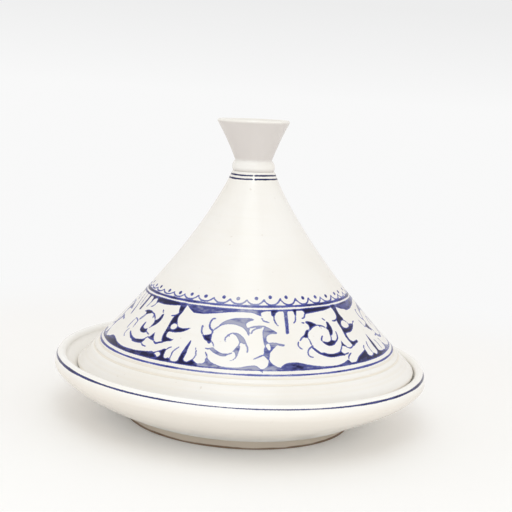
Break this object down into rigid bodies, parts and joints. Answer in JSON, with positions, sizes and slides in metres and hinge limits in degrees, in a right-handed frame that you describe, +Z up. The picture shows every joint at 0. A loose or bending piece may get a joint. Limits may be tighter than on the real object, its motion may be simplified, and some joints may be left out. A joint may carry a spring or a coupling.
{
  "type": "tagine pot",
  "caption": "Glazed earthenware tagine: a shallow footed round dish and a tall bell-shaped lid with a flared cup knob, painted with a blue scroll frieze.",
  "frame": {"origin": "centre of the foot ring, on the table", "axes": "+Z up along the axis of the dish, +X to the right in the picture, -Y towards the viewer"},
  "size_m": [0.303, 0.303, 0.2441],
  "materials": {
    "dish_glaze": "warm white gloss glaze with one blue line",
    "lid_glaze": "warm white gloss glaze with blue painted bands",
    "knob_glaze": "warm white gloss glaze"
  },
  "bodies": {
    "dish": {"dish": "dish_glaze"},
    "lid": {"lid": "lid_glaze", "lid_knob": "knob_glaze"}
  },
  "joints": [
    {"name": "lid_lift", "type": "slide", "parent": "dish", "child": "lid", "axis": [0, 0, 1], "range_m": [0, 0.2]}
  ]
}
